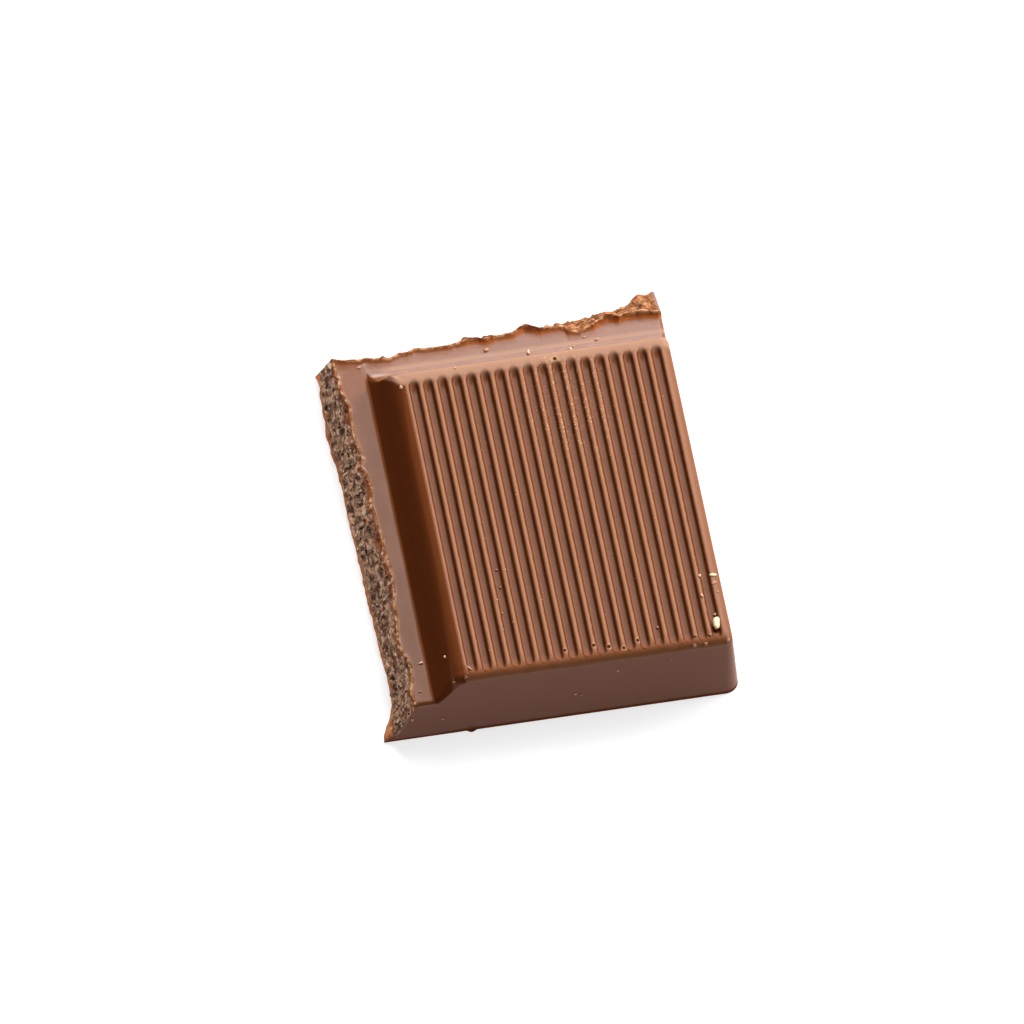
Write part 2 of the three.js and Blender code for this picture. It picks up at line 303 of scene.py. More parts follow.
def wall_offset(z):
    """How far a moulded wall stands out from the pillow's edge line at height z: the edge's radius times the
    draft's cosine, and the depth below the rounded edge times the draft's tangent."""
    top = HEIGHT - EDGE_RADIUS * (1 - math.sin(DRAFT))
    return EDGE_RADIUS * math.cos(DRAFT) + (top - z) * math.tan(DRAFT)


def spread(start, end, count, closed=True):
    """Evenly spaced numbers."""
    return np.linspace(start, end, count, endpoint=closed)


class HalfGroove:
    """The fall from the pillow's top to the web, from its steepness at distances out from the edge line. The
    depth is the sum of the steepness's tangent, scaled so that it ends at the web."""

    def __init__(self, profile):
        self.distance = spread(0, CREASE, 400)
        self.angle = np.radians(line(profile, self.distance))
        rises = np.tan((self.angle[1:] + self.angle[:-1]) / 2)
        depth = np.concatenate([[0], np.cumsum(rises)])
        self.depth = depth / depth[-1] * (HEIGHT - WEB)

    def height(self, distance):
        return HEIGHT - np.interp(distance, self.distance, self.depth)

    def slope(self, distance):
        """Angle below the horizontal, falling outwards."""
        return np.where(distance < CREASE, np.interp(distance, self.distance, self.angle), 0)

    def steps(self, count):
        """Distances from the crease in to the edge line, evenly spaced along the curve."""
        length = np.concatenate([[0], np.cumsum(np.hypot(np.diff(self.distance), np.diff(self.depth)))])
        return np.interp(spread(length[-1], 0, count), length, self.distance)


LEFT_GROOVE = HalfGroove(LEFT_PROFILE)
BACK_GROOVE = HalfGroove(BACK_PROFILE)


def half_groove_heights(x, y):
    """Heights of the left and the back half groove, of which the lower is the surface. At the pillow's corner
    both follow an arc of CORNER_ROUNDING, and lower down they meet in a mitre."""
    left, back = -x, y - PILLOW_LENGTH
    curved_left = np.maximum(left + CORNER_ROUNDING, 0)
    curved_back = np.maximum(back + CORNER_ROUNDING, 0)
    curved = np.hypot(curved_left, curved_back) - CORNER_ROUNDING
    share = ease(np.maximum(left, back) / 0.9)
    left_height = LEFT_GROOVE.height(mix(curved, left, share))
    back_height = BACK_GROOVE.height(mix(curved, back, share))
    return left_height, back_height - math.tan(BACK_WEB_FALL) * np.maximum(y - line(LEFT_WEB_END, x), 0)


# ---------------------------------------------------------------------------------------------------
# The piece's surface: a grid over the top, whose border runs on down the sides and in under the bottom

WEB_STEPS = 13
SLOPE_STEPS = 30
BACK_WEB_STEPS = 15
BACK_SLOPE_STEPS = 26
FILLET_STEPS = 9
PILLOW_ROWS = 172
SIDE_LEVELS = 34
BOTTOM_RINGS = 4
CREST_OFFSETS = (-0.44, -0.37, -0.32, -0.27, -0.22, -0.1, 0.1, 0.22, 0.27, 0.32, 0.37, 0.44)

# Even spacings are raised to these powers, so that columns and rows over the web are closer at the lips,
# and levels down the sides closer at the top.
LEFT_SPACING = 1.3
BACK_SPACING = 1.5
SIDE_SPACING = 1.2

# Over FRONT_SETTLE the rows and columns near the front and right edges run in to their even places. The left
# lip begins LIP_FRONT before the pillow's front line, goes LIP_TURN further round the edge, and ends at
# LIP_BACK.
FRONT_SETTLE = 1.5
LIP_FRONT = 0.42
LIP_TURN = 0.33
LIP_BACK = 29.1
BOTTOM_EDGE = 0.08
FRACTURE_END = 0.5

# The pillow fades out over PILLOW_FADE above the height PILLOW_FOOT.
PILLOW_FOOT = 5.5
PILLOW_FADE = 0.4

# The front edge's fall begins at FALL_START and is full FALL_LENGTH further on. EDGE_LUMPS is how uneven it
# is, and EDGE_BLEND how softly it meets the grooves.
FALL_START = 0.6
FALL_LENGTH = 0.9
EDGE_LUMPS = 0.35
EDGE_LUMP_SIZE = 0.7
EDGE_BLEND = 0.07

# The lips' thin edges: widths and heights. FAR stands for any place that is far from a lip.
BURR_UNEVEN = 0.25
BURR_WIDTH = 0.36
BACK_SWELL = 0.07
SWELL_WIDTH = 0.9
CHIP_LOW = 0.01
CHIP_HIGH = 0.07
CHIP_WIDTH = 0.2
FAR = 9

# Strengths of the painted shade on the right and front edges and along the back crease, and how far the grooves'
# painted shade fades at their back ends.
RIGHT_EDGE_SHADE = 0.1
FRONT_EDGE_SHADE = 0.28
CREASE_SHADE = 0.15
END_FADE = 0.75

# Places of painted light and shade and of finishes: y where the back half groove's painted highlight begins and ends,
# of a painted highlight streak and of the painted shade along the crease before it, and x and y of the inner corner of
# the webs and of a patch of bubbles.
COVE_START = 24.2
COVE_END = 26.7
STREAK = 27.45
CREASE_LINE = 27.08
INNER_CORNER = (-1.9, 27.0)
BUBBLES = (10.9, 21)
BUBBLES_SIZE = (3.0, 5)


def left_lip(y):
    """x of the left lip: the line through its points, a little ragged."""
    return line(LEFT_LIP, y) + 0.03 * along(y, 4, 0.25)


def back_lip(x):
    """y of the back lip: the line through its points, a little ragged."""
    return line(BACK_LIP, x) + 0.03 * along(x, 6, 0.2)


def columns():
    """For each column of the grid, from left to right: its share of the way from the crease out to the left
    lip, its x, and the sine of its angle round the right edge."""
    grooves = GROOVE_FIRST + GROOVE_PITCH * np.arange(GROOVE_COUNT)
    across = (grooves[:, None] + np.array(CREST_OFFSETS)).ravel()
    x = np.concatenate([[-CREASE] * WEB_STEPS, -LEFT_GROOVE.steps(SLOPE_STEPS), [across[0] / 2], across])
    share = 1 - spread(0, 1, WEB_STEPS, False) ** LEFT_SPACING
    share = np.concatenate([share, np.zeros(len(x) - WEB_STEPS)])
    turn = np.sin(spread(0, math.pi / 2 - DRAFT, FILLET_STEPS)[1:])
    pad = np.zeros(len(turn))
    return np.append(share, pad), np.append(x, pad + PILLOW_WIDTH), np.append(np.zeros(len(x)), turn)


def rows():
    """For each row of the grid, from front to back: its share of the way from the crease out to the back lip,
    its y, and the sine of its angle round the front edge."""
    turn = np.sin(spread(math.pi / 2 - DRAFT, 0, FILLET_STEPS, False))
    middle = spread(0, PILLOW_LENGTH, PILLOW_ROWS, False)
    slope = PILLOW_LENGTH + BACK_GROOVE.steps(BACK_SLOPE_STEPS)[::-1]
    y = np.concatenate([np.zeros(len(turn)), middle, slope])
    share = 1 - (1 - spread(0, 1, BACK_WEB_STEPS + 1)[1:]) ** BACK_SPACING
    turn = np.append(turn, np.zeros(len(y) - len(turn) + len(share)))
    return (
        np.append(np.zeros(len(y)), share),
        np.append(y, np.full(len(share), PILLOW_LENGTH + CREASE)),
        turn,
    )


def edge_radius(height):
    """Radius of the rounding between the top and a wall, smaller low down."""
    return mix(WEB_EDGE_RADIUS, EDGE_RADIUS, ease((height - WEB) / (HEIGHT - WEB)))


class Top:
    """The grid over the top, by row and column."""

    def __init__(self):
        """x and y are places before the edges turn down. Out past the creases they run in even shares to the
        lips, and lip_y is where along the left lip a row ends."""
        self.share_x, x, self.turn_x = columns()
        self.share_y, y, self.turn_y = (each[:, None] for each in rows())
        settled = y - LIP_FRONT * (1 - ease(y / FRONT_SETTLE))
        front = np.where(self.turn_y > 0, -LIP_FRONT - LIP_TURN * self.turn_y, settled)
        crease_y = PILLOW_LENGTH + CREASE
        self.lip_y = np.where(self.share_y > 0, mix(crease_y, LIP_BACK, self.share_y), front)
        self.x = np.where(self.share_x > 0, mix(-CREASE, left_lip(self.lip_y), self.share_x), x)
        self.y = np.where(self.share_y > 0, mix(crease_y, back_lip(self.x), self.share_y), y + 0 * self.x)
        self.flat_y = self.y
        self.height = np.minimum(*half_groove_heights(self.x, self.y))
        self.on_pillow = ease((self.height - PILLOW_FOOT) / PILLOW_FADE)

    def make_points(self):
        """The pillow, half grooves and web are the height over x and y, the fine grooves are sunk into it, and
        the front and right edges are turned down by an arc square to the surface. At the right front corner the
        two arcs meet as a ball. Along the lips a thin edge stands up."""
        x, y = self.x, self.y
        left_slope = LEFT_GROOVE.slope(np.maximum(-x, 0))
        back_slope = BACK_GROOVE.slope(np.maximum(y - PILLOW_LENGTH, 0))
        radius = edge_radius(self.height)
        across = self.turn_x * np.sqrt(1 - self.turn_y**2 / 2)
        down = self.turn_y * np.sqrt(1 - self.turn_x**2 / 2)
        drop = radius * (1 - np.sqrt(np.maximum(1 - across**2 - down**2, 0)))
        edge_height = self.height - radius * (1 - math.sin(DRAFT)) * np.cos(left_slope + back_slope)
        inset = wall_offset(edge_height) - radius * math.cos(DRAFT)
        near_front = np.where(self.turn_y > 0, 1, 1 - ease(y / FRONT_SETTLE))
        near_right = ease(1 - (PILLOW_WIDTH - x) / FRONT_SETTLE)
        self.hollow, self.depth = groove_hollow(x, y - radius * down)
        lumps = soft_noise(np.stack([x, y + 0 * x, 0 * (x + y)], axis=-1), EDGE_LUMP_SIZE, 31)
        edge_fall = front_fall(y) * self.on_pillow * (1 + EDGE_LUMPS * lumps)
        self.y = y - inset * near_front - radius * down - drop * np.sin(back_slope)
        self.x = x + inset * near_right + radius * across + drop * np.sin(left_slope)
        drop = drop * np.cos(left_slope) * np.cos(back_slope)
        rise = self.lip_rise()
        z = self.height - soft_max(self.hollow, drop + edge_fall, EDGE_BLEND) + rise
        return np.stack([self.x, self.y, z], axis=-1)

    def lip_rise(self):
        """How high the web rises towards its lips: a burr on a gentle swell at the back, and small chips at the
        left."""
        back_reach = back_lip(self.x) - PILLOW_LENGTH - CREASE
        left_reach = -CREASE - left_lip(self.lip_y)
        self.from_back = np.where(self.share_y > 0, (1 - self.share_y) * back_reach, FAR)
        self.from_left = np.where(self.share_x > 0, (1 - self.share_x) * left_reach, FAR)
        self.burr = line(BACK_BURR, self.x) * (1 + BURR_UNEVEN * along(self.x + 0 * self.y, 8, 0.5))
        swell = BACK_SWELL * np.clip(1 - self.from_back / SWELL_WIDTH, 0, 1) ** 2
        rise = self.burr * ease(1 - self.from_back / BURR_WIDTH) + swell
        chips = np.clip(1.5 * along(self.lip_y + 0 * self.x, 9, 0.35), 0, 1)
        return np.maximum(rise, mix(CHIP_LOW, CHIP_HIGH, chips) * ease(1 - self.from_left / CHIP_WIDTH))

    def groove_shade(self, fallen):
        """Painted shade on the fine grooves' walls and floors, which fades towards their back ends. Fallen is how far
        the surface has sunk, as a share of the groove's depth."""
        faces_left = (self.x - GROOVE_FIRST + GROOVE_PITCH / 2) % GROOVE_PITCH > GROOVE_PITCH / 2
        on_wall = ease(np.minimum(fallen, 1 - fallen) / 0.15)
        from_end = GROOVE_BACK + GROOVE_HALF_WIDTH - self.flat_y
        walls = on_wall * np.where(faces_left, LEFT_WALL_SHADE, RIGHT_WALL_SHADE)
        walls = walls * (1 - END_FADE * ease(1 - from_end / 0.6))
        return np.maximum(walls, FLOOR_SHADE * fallen**4) * (self.x > 0)

    def slope_shade(self):
        """Painted shade on the left slope: the shoulder, then full past DARK_START, as far as DARK_END."""
        x, y = self.x, self.y
        past_shoulder = ease((-x - line(DARK_START, y)) / 0.2 + 0.5)
        past_end = ease((y - line(DARK_END, x)) / 0.15 + 0.5)
        shade = mix(SHOULDER_SHADE * ease(0.45 - x / 0.18), 1, past_shoulder)
        return shade * (-x < CREASE - 1e-6) * (1 - past_end)

    def make_values(self):
        """The material's named values. Shaded holds the painted shade, pale the painted highlight on the back half
        groove and on a streak beyond its crease, and the ridges' value the painted light on the pillow's ridges; satin
        is where the gloss is soft, and bubbly a patch of tiny bubbles."""
        x, y, on_pillow = self.x, self.y, self.on_pillow
        fallen = np.clip(self.hollow / np.maximum(self.depth, 0.01), 0, 1)
        right_edge = ease(self.turn_x / 0.7) * on_pillow
        front_edge = ease((0.2 - self.flat_y) / 0.35) * on_pillow
        past_corner = ease((x + 1.5) / 1.2)
        # Painted highlight on the back half groove and on a streak beyond its crease, and painted shade along the
        # crease line.
        on_cove = ease((y - COVE_START) / 0.5) * (1 - ease((y - COVE_END) / 0.3))
        streak = 0.8 * ease(1 - np.abs(y - STREAK) / 0.35)
        crease = CREASE_SHADE * ease(1 - np.abs(y - CREASE_LINE) / 0.2) * past_corner
        behind = 0.5 * ease((y - GROOVE_BACK) / 0.5) * ease((x + 2.5) / 2)
        in_corner = 0.4 * ease(1 - np.hypot(x - INNER_CORNER[0], y - INNER_CORNER[1]) / 0.8)
        in_patch = ease(1.4 - np.hypot((x - BUBBLES[0]) / BUBBLES_SIZE[0], (y - BUBBLES[1]) / BUBBLES_SIZE[1]))
        # Painted shade: on the grooves, the left slope, the right and front edges and the back crease.
        shades = [
            self.groove_shade(fallen), self.slope_shade(), RIGHT_EDGE_SHADE * right_edge,
            FRONT_EDGE_SHADE * front_edge, crease,
        ]
        # Painted light: the raised top and its ridges get a lighter colour, less of it at the front and right edges.
        ridges = on_pillow * (1 - ease(fallen / 0.5)) * ease(x / 0.2)
        values = {
            "shaded": largest(*shades),
            "pale": np.maximum(on_cove, streak) * past_corner,
            # Painted light: tan rims along the lips, standing in for their highlights and for light through their thin
            # edges.
            "lip": np.maximum(0.9 * ease(1 - self.from_left / 0.27), ease(1 - self.from_back / 0.24)),
            # Painted light: the burr's near side is a brighter orange, for light shining through the thin edge.
            "burr": ease((self.burr - BURR_LEAST) / 0.25) * ease(1 - np.abs(self.from_back - 0.28) / 0.2),
            "worn": ridges * (1 - 0.7 * np.maximum(front_edge, right_edge)),
            "satin": largest(on_pillow, behind, in_corner),
            "bubbly": on_pillow * in_patch * (1 - 0.8 * fallen),
        }
        return {name: value + 0 * x * y for name, value in values.items()}


def front_fall(y):
    """How far the pillow's top falls towards the front edge."""
    return FRONT_FALL * ease((FALL_START - y) / FALL_LENGTH)


def groove_hollow(x, y):
    """How far the surface lies below the top in the fine grooves, negative beside them, and the grooves' full
    depth there: a flat floor between steep, slightly uneven walls, with shallower ends that are round at the
    front and softly pointed at the back. Widths and back ends differ a little from groove to groove."""
    number = np.clip(np.round((x - GROOVE_FIRST) / GROOVE_PITCH), 0, GROOVE_COUNT - 1)
    centre = GROOVE_FIRST + GROOVE_PITCH * number
    back = GROOVE_BACK + 0.05 * np.sin(number * 4.1)
    past = largest(POINT_STRETCH * (y - back + POINT_START), GROOVE_FRONT - y, 0)
    uneven = soft_noise(np.stack([x, y + 0 * x, number + 0 * y], axis=-1), 0.25, 33)
    half_width = GROOVE_HALF_WIDTH + 0.006 * np.sin(number * 2.3) + 0.009 * uneven
    inside = half_width - np.hypot(x - centre, past)
    end = np.minimum(back + GROOVE_HALF_WIDTH - y, y - GROOVE_FRONT + GROOVE_HALF_WIDTH)
    depth = GROOVE_DEPTH * mix(GROOVE_END_DEPTH, 1, ease(end / GROOVE_END))
    return depth * ease(inside / GROOVE_WALL) + 1.2 * np.minimum(inside, 0), depth


def border(grid):
    """The grid's outer points in turn, from the front left corner to the right, back and left."""
    return np.concatenate([grid[0, :-1], grid[:-1, -1], grid[-1, :0:-1], grid[:0:-1, 0]])


def feet(top, counts):
    """For each border point, the point at the bottom that its line down the side ends in, how far the line
    swings out to a spur, and the share of broken surface there. Moulded walls widen by their draft."""
    across, along_y = counts
    front, right = slice(0, across), slice(across, across + along_y)
    back, left = slice(across + along_y, 2 * across + along_y), slice(2 * across + along_y, None)
    x, y, z = top.T
    widen = z * math.tan(DRAFT)
    foot_x, foot_y = x.copy(), y.copy()
    swing = np.zeros(len(x))
    wall_x, wall_y = PILLOW_WIDTH + wall_offset(0), -wall_offset(0)

    corner = np.hypot(np.maximum(x - PILLOW_WIDTH, 0), np.minimum(y, 0)) + 1e-9
    turned = (x > PILLOW_WIDTH + 1e-6) & (y < -1e-6)
    out_x = np.where(turned, (x - PILLOW_WIDTH) / corner, 0)
    out_y = np.where(turned, np.minimum(y, 0) / corner, 0)
    out_x[right] = np.where(turned[right], out_x[right], 1)
    out_y[front] = np.where(turned[front], out_y[front], -1)
    foot_x = foot_x + out_x * widen
    foot_y = foot_y + out_y * widen
    first = top[0]
    stretch = -4.65 / first[0]
    foot_x[front] = np.where(x[front] < 0, x[front] * stretch, foot_x[front])
    swing[front] = LEFT_SPUR[0][1] * ease((x[front] + 2.3) / (first[0] + 2.3))
    lip_end = top[across + along_y]
    rise = np.clip((y[right] - 18) / (lip_end[1] - 18), 0, 1)
    foot_y[right] += (BACK_FOOT[-1][1] - lip_end[1]) * rise**2
    foot_x[back] = np.interp(x[back], [top[2 * across + along_y][0], lip_end[0]], [BACK_FOOT[0][0], wall_x])
    foot_y[back] = line(BACK_FOOT, foot_x[back]) + 0.05 * along(foot_x[back], 12, 0.5)
    foot_y[back][-1] = BACK_FOOT[0][1]
    foot_y[left] = np.interp(y[left], [first[1], top[2 * across + along_y][1]], [wall_y, BACK_FOOT[0][1]])
    foot_x[left] = line(LEFT_FOOT, foot_y[left]) + 0.03 * along(foot_y[left], 13, 0.5)
    swing[left] = line(LEFT_SPUR, foot_y[left])

    broken, golden = np.zeros(len(x)), np.zeros(len(x))
    broken[back] = broken[left] = 1
    # Tint of the back break, strongest at its right: partly its own orange tone and partly painted, toning down the
    # broken colours set light for the dim left break.
    golden[back] = mix(0.6, 1, ease((foot_x[back] + 1) / 10))
    return np.stack([foot_x, foot_y, 0 * foot_x + BOTTOM_EDGE], axis=-1), swing, broken, golden


def smooth_round(values, passes):
    """Values along a closed loop, each blended with its two neighbours as many times as passes says."""
    for _ in range(passes):
        values = (np.roll(values, 1, axis=0) + 2 * values + np.roll(values, -1, axis=0)) / 4
    return values


def fracture_relief(points):
    """How far the broken surface stands out: coarse lumps, larger and smaller grains that bulge between
    crevices, and fine roughness."""
    grains, _ = grain_noise(points, 0.5, 21)
    large, _ = grain_noise(points, 1.0, 25)
    lumps = 0.12 * soft_noise(points, 1.3, 22) + 0.1 * soft_noise(points, 0.45, 23)
    return lumps + 0.36 * (0.5 - grains) + 0.3 * (0.5 - large) + 0.04 * soft_noise(points, 0.2, 24)


def build_piece():
    """The points and faces of the whole closed surface, and its named values for the material."""
    grid_over_top = Top()
    grid = grid_over_top.make_points()
    on_top = grid_over_top.make_values()
    count_y, count_x = grid.shape[:2]
    top = border(grid)
    loop = len(top)
    foot, swing, broken, golden = feet(top, (count_x - 1, count_y - 1))

    level = spread(0, 1, SIDE_LEVELS + 1)[1:, None] ** SIDE_SPACING
    sides = mix(top, foot, level[..., None])
    sides[..., 0] -= swing * level**SPUR_CURVE

    flat = foot - top
    ahead = np.roll(foot + top, -1, axis=0) - np.roll(foot + top, 1, axis=0)
    normal = np.cross(flat, ahead)
    normal /= np.linalg.norm(normal, axis=1, keepdims=True)
    normal = smooth_round(normal, 6)
    from_wall = np.minimum(
        np.linalg.norm(foot - foot[0], axis=1), np.linalg.norm(foot - foot[count_x + count_y - 2], axis=1)
    )
    rough = broken * ease(from_wall / FRACTURE_END)
    corner = foot[2 * (count_x - 1) + count_y - 1]
    from_corner = np.linalg.norm(foot - corner, axis=1)
    amount = rough * ease(level / 0.1) * (1 - 0.75 * ease((level - 0.88) / 0.12))
    amount = amount * mix(0.2, 1, ease(from_corner / 0.6))
    sides = sides + (amount * fracture_relief(sides))[..., None] * normal
    from_front = np.linalg.norm(foot - foot[0], axis=1)
    # Painted light on a bright ridge high on the broken sides near the front.
    ridge = broken * ease(1 - from_front / 0.45) * ease(1 - (level - 0.1) / 0.4)
    from_drip = np.hypot((sides[..., 0] - DRIP[0]) / DRIP_SIZE[0], (sides[..., 2] - DRIP[1]) / DRIP_SIZE[1])
    drip = ease(1.2 - from_drip) * (sides[..., 1] < 0) * (1 - broken)
    sides[..., 1] -= DRIP_BULGE * drip

    last = sides[-1]
    centre = (foot.min(axis=0) + foot.max(axis=0)) / 2 * np.array([1, 1, 0])
    shrink = np.concatenate([[0.994], spread(0.97, 0, BOTTOM_RINGS - 1, False)])[:, None, None]
    rings = mix(centre, last, shrink)
    rings[..., 2] = 0

    points = np.concatenate([grid.reshape(-1, 3), sides.reshape(-1, 3), rings.reshape(-1, 3), centre[None]])
    faces = grid_faces(count_y, count_x, loop)

    on_sides = {
        "broken": rough * ease(level / 0.05),
        "golden": golden + 0 * level,
        # Painted light: tan along the broken sides' top edges and on the ridge near the front.
        "lip": np.maximum(broken * ease(1 - level / 0.06), ridge),
        "base": broken * ease((level - 0.84) / 0.14),
        # Painted shade: the broken sides just below the lips are darker and redder.
        "under": broken * (1 - ease((level - 0.05) / 0.2)),
        # Painted shade: the moulded walls get a darker colour, making up for the light the glowing table throws on
        # them.
        "wall": (1 - rough) + 0 * level,
        # Painted shade along the moulded walls' feet and on the drip.
        "shaded": np.maximum(0.8 * (1 - broken) * ease((level - 0.93) / 0.05), 0.9 * drip),
    }
    values = {}
    for name in sorted({*on_top, *on_sides}):
        value = np.zeros(len(points), np.float32)
        value[: grid[..., 0].size] = np.ravel(on_top.get(name, grid[..., 0] * 0))
        value[grid[..., 0].size :][: amount.size] = np.ravel(on_sides.get(name, amount * 0))
        values[name] = value
    return points, faces, values


def grid_faces(count_y, count_x, loop):
    """Four sided faces of the grid, sides and rings, then triangles round the middle of the bottom."""
    number = np.arange(count_y * count_x).reshape(count_y, count_x)
    corners = [number[:-1, :-1], number[:-1, 1:], number[1:, 1:], number[1:, :-1]]
    top = np.stack(corners, axis=-1).reshape(-1, 4)
    below = count_y * count_x + np.arange((SIDE_LEVELS + BOTTOM_RINGS) * loop).reshape(-1, loop)
    rings = np.concatenate([border(number)[None], below])
    after = np.roll(rings, -1, axis=1)
    side = np.stack([rings[:-1], rings[1:], after[1:], after[:-1]], axis=-1).reshape(-1, 4)
    pole = below.max() + 1
    fan = np.stack([rings[-1], np.full(loop, pole), after[-1]], axis=-1)
    return np.concatenate([top, side]), fan


def crumb_table():
    """The crumbs' rows, then rows for specks of dust that lie at random on the grooved top."""
    rng = np.random.default_rng(41)
    x, y = rng.uniform(0.2, PILLOW_WIDTH, DUST_COUNT), rng.uniform(0.5, GROOVE_BACK, DUST_COUNT)
    z = HEIGHT - np.maximum(groove_hollow(x, y)[0], 0) + 0.01
    size = rng.uniform(0.02, 0.05, (3, DUST_COUNT))
    turn, tone = rng.uniform(0, 180, DUST_COUNT), rng.uniform(0.3, 0.8, DUST_COUNT)
    dust = np.stack([x, y, z, *size, turn, tone], axis=1)
    return np.concatenate([np.array(CRUMBS), dust])


def build_crumbs():
    """The crumbs' points, faces and tones. Each is middle + turned(half sizes * way * (1 + lumps)), where
    way is (sin v cos u, sin v sin u, cos v) for u round it and v from its top to its bottom."""
    table = crumb_table()
    middle, half, turn, tone = table[:, None, :3], table[:, None, 3:6], np.radians(table[:, 6:7]), table[:, 7]
    v = spread(0, math.pi, CRUMB_RINGS + 2)[1:-1, None]
    u = spread(0, math.tau, CRUMB_ROUND, False)
    rings = [np.sin(v) * np.cos(u), np.sin(v) * np.sin(u), np.cos(v) + 0 * u]
    rings = np.stack(rings, axis=-1).reshape(-1, 3)
    way = np.concatenate([rings, [[0, 0, 1], [0, 0, -1]]])
    lumps = soft_noise(way + 7.0 * np.arange(len(table))[:, None, None], 0.7, 42)
    raggedness = 0.6 * np.clip(0.15 / half.max(axis=-1, keepdims=True), 0.4, 1)
    shape = half * way * (1 + raggedness * lumps[..., None])
    x, y, z = np.moveaxis(shape, -1, 0)
    turned = np.stack([x * np.cos(turn) - y * np.sin(turn), x * np.sin(turn) + y * np.cos(turn), z], axis=-1)

    number = np.arange(len(rings)).reshape(CRUMB_RINGS, CRUMB_ROUND)
    after = np.roll(number, -1, axis=1)
    quads = np.stack([number[:-1], number[1:], after[1:], after[:-1]], axis=-1).reshape(-1, 4)
    top, bottom = np.full(CRUMB_ROUND, len(rings)), np.full(CRUMB_ROUND, len(rings) + 1)
    fans = np.concatenate([
        np.stack([top, number[0], after[0]], axis=-1), np.stack([bottom, after[-1], number[-1]], axis=-1)
    ])
    first = (len(way) * np.arange(len(table)))[:, None, None]
    faces = [(each + first).reshape(-1, each.shape[1]) for each in (quads, fans)]
    return (middle + turned).reshape(-1, 3), faces, {"tone": np.repeat(tone, len(way)).astype(np.float32)}


def place(points):
    """Points in metres in the row frame, from millimetres laid out from the pillow's corner. The walls' feet
    stand at the right and the front of the CAD piece's box."""
    corner = np.array([CAD_HIGH.x, CAD_LOW.y, CAD_LOW.z])
    return corner + (points - np.array([PILLOW_WIDTH + wall_offset(0), -wall_offset(0), 0])) * MM


def add_mesh(name, points, quads, triangles, values, material):
    """A smooth shaded mesh object from arrays of points, faces and named point values."""
    mesh = bpy.data.meshes.new(name)
    mesh.vertices.add(len(points))
    mesh.vertices.foreach_set("co", place(points).astype(np.float32).ravel())
    corners = np.concatenate([quads.ravel(), triangles.ravel()]).astype(np.int32)
    starts = np.concatenate([4 * np.arange(len(quads)), 4 * len(quads) + 3 * np.arange(len(triangles))])
    mesh.loops.add(len(corners))
    mesh.loops.foreach_set("vertex_index", corners)
    mesh.polygons.add(len(starts))
    mesh.polygons.foreach_set("loop_start", starts.astype(np.int32))
    mesh.polygons.foreach_set("use_smooth", np.ones(len(starts), bool))
    for key, value in values.items():
        mesh.attributes.new(key, "FLOAT", "POINT").data.foreach_set("value", value)
    mesh.update(calc_edges=True)
    if mesh.validate():
        raise RuntimeError(f"{name} had faulty faces")
    mesh.materials.append(material)
    made = bpy.data.objects.new(name, mesh)
    bpy.context.scene.collection.objects.link(made)
    return made


# ---------------------------------------------------------------------------------------------------
# Materials


class Value:
    """A shader socket that numbers and other values can be worked out from, by Math nodes."""

    def __init__(self, tree, socket):
        self.tree = tree
        self.socket = socket

    def math(self, operation, *others):
        values = {0: self.socket}
        values.update({i + 1: getattr(o, "socket", o) for i, o in enumerate(others)})
        return self.tree.node("ShaderNodeMath", {"operation": operation}, values)[0]

    def __add__(self, other):
        return self.math("ADD", other)

    def __sub__(self, other):
        return self.math("SUBTRACT", other)

    def __mul__(self, other):
        return self.math("MULTIPLY", other)

    def __truediv__(self, other):
        return self.math("DIVIDE", other)

    def __rsub__(self, other):
        return self.math("MULTIPLY", -1.0).math("ADD", other)

    __radd__ = __add__
    __rmul__ = __mul__

    def clamp(self):
        return self.math("MAXIMUM", 0.0).math("MINIMUM", 1.0)

    def step(self, low, high):
        """0 below low, 1 above high, and smooth between."""
        settings = {"interpolation_type": "SMOOTHSTEP"}
        inputs = {"Value": self, "From Min": low, "From Max": high}
        return self.tree.node("ShaderNodeMapRange", settings, inputs)[0]


